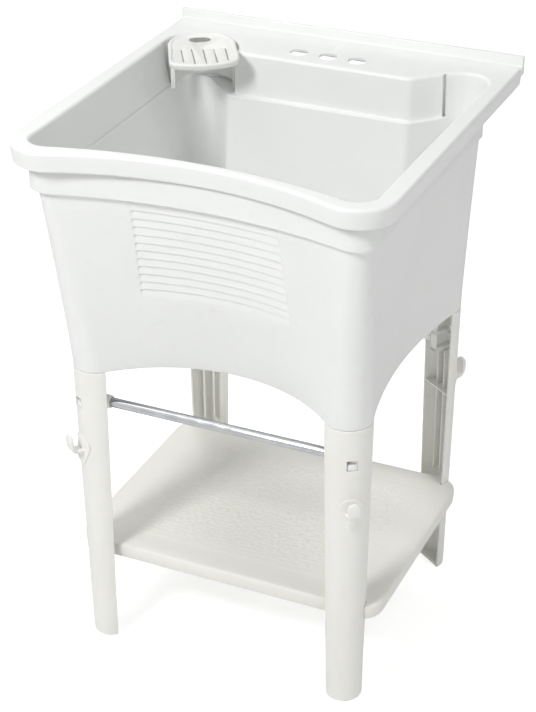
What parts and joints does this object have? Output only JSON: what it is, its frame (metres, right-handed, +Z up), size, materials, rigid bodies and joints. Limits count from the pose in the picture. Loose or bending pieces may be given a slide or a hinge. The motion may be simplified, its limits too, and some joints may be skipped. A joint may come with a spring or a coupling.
{
  "type": "laundry sink",
  "caption": "Freestanding moulded laundry sink with a deep bowl, faucet deck, channel legs, lower shelf, towel bar, side hooks and a lift-out soap dish.",
  "frame": {"origin": "on the floor, below the middle of the tub's rim", "axes": "+Z up, +X to the right seen from the front, +Y to the back, where the faucet deck is"},
  "size_m": [0.61, 0.6239, 0.938],
  "materials": {
    "tub_plastic": "satin white moulded plastic with a fine orange-peel surface",
    "leg_plastic": "satin warm white moulded plastic",
    "shelf_plastic": "warm white moulded plastic with a pebbled tread",
    "dish_plastic": "satin white moulded plastic",
    "chrome": "polished",
    "drain_plastic": "plain white moulded plastic",
    "rubber": "dull black rubber"
  },
  "bodies": {
    "root": {"tub": "tub_plastic", "leg_front_left": "leg_plastic", "leg_front_right": "leg_plastic", "leg_back_left": "leg_plastic", "leg_back_right": "leg_plastic", "hook_front_left": "leg_plastic", "hook_front_right": "leg_plastic", "hook_back_left": "leg_plastic", "hook_back_right": "leg_plastic", "shelf": "shelf_plastic", "drain_body": "drain_plastic", "drain_gasket": "rubber", "drain_lock_nut": "drain_plastic", "slip_washer": "rubber", "slip_nut": "drain_plastic", "tailpiece": "drain_plastic"},
    "dish": {"soap_dish": "dish_plastic"},
    "bar": {"towel_bar": "chrome"},
    "plug": {"stopper": "rubber"}
  },
  "joints": [
    {"name": "dish_lift", "type": "slide", "parent": "root", "child": "dish", "axis": [0, 0, 1], "range_m": [0, 0.07]},
    {"name": "bar_spin", "type": "hinge", "parent": "root", "child": "bar", "pos_m": [0, -0.21, 0.46], "axis": [1, 0, 0], "continuous": true},
    {"name": "stopper_lift", "type": "slide", "parent": "root", "child": "plug", "axis": [0, 0, 1], "range_m": [0, 0.06]}
  ]
}
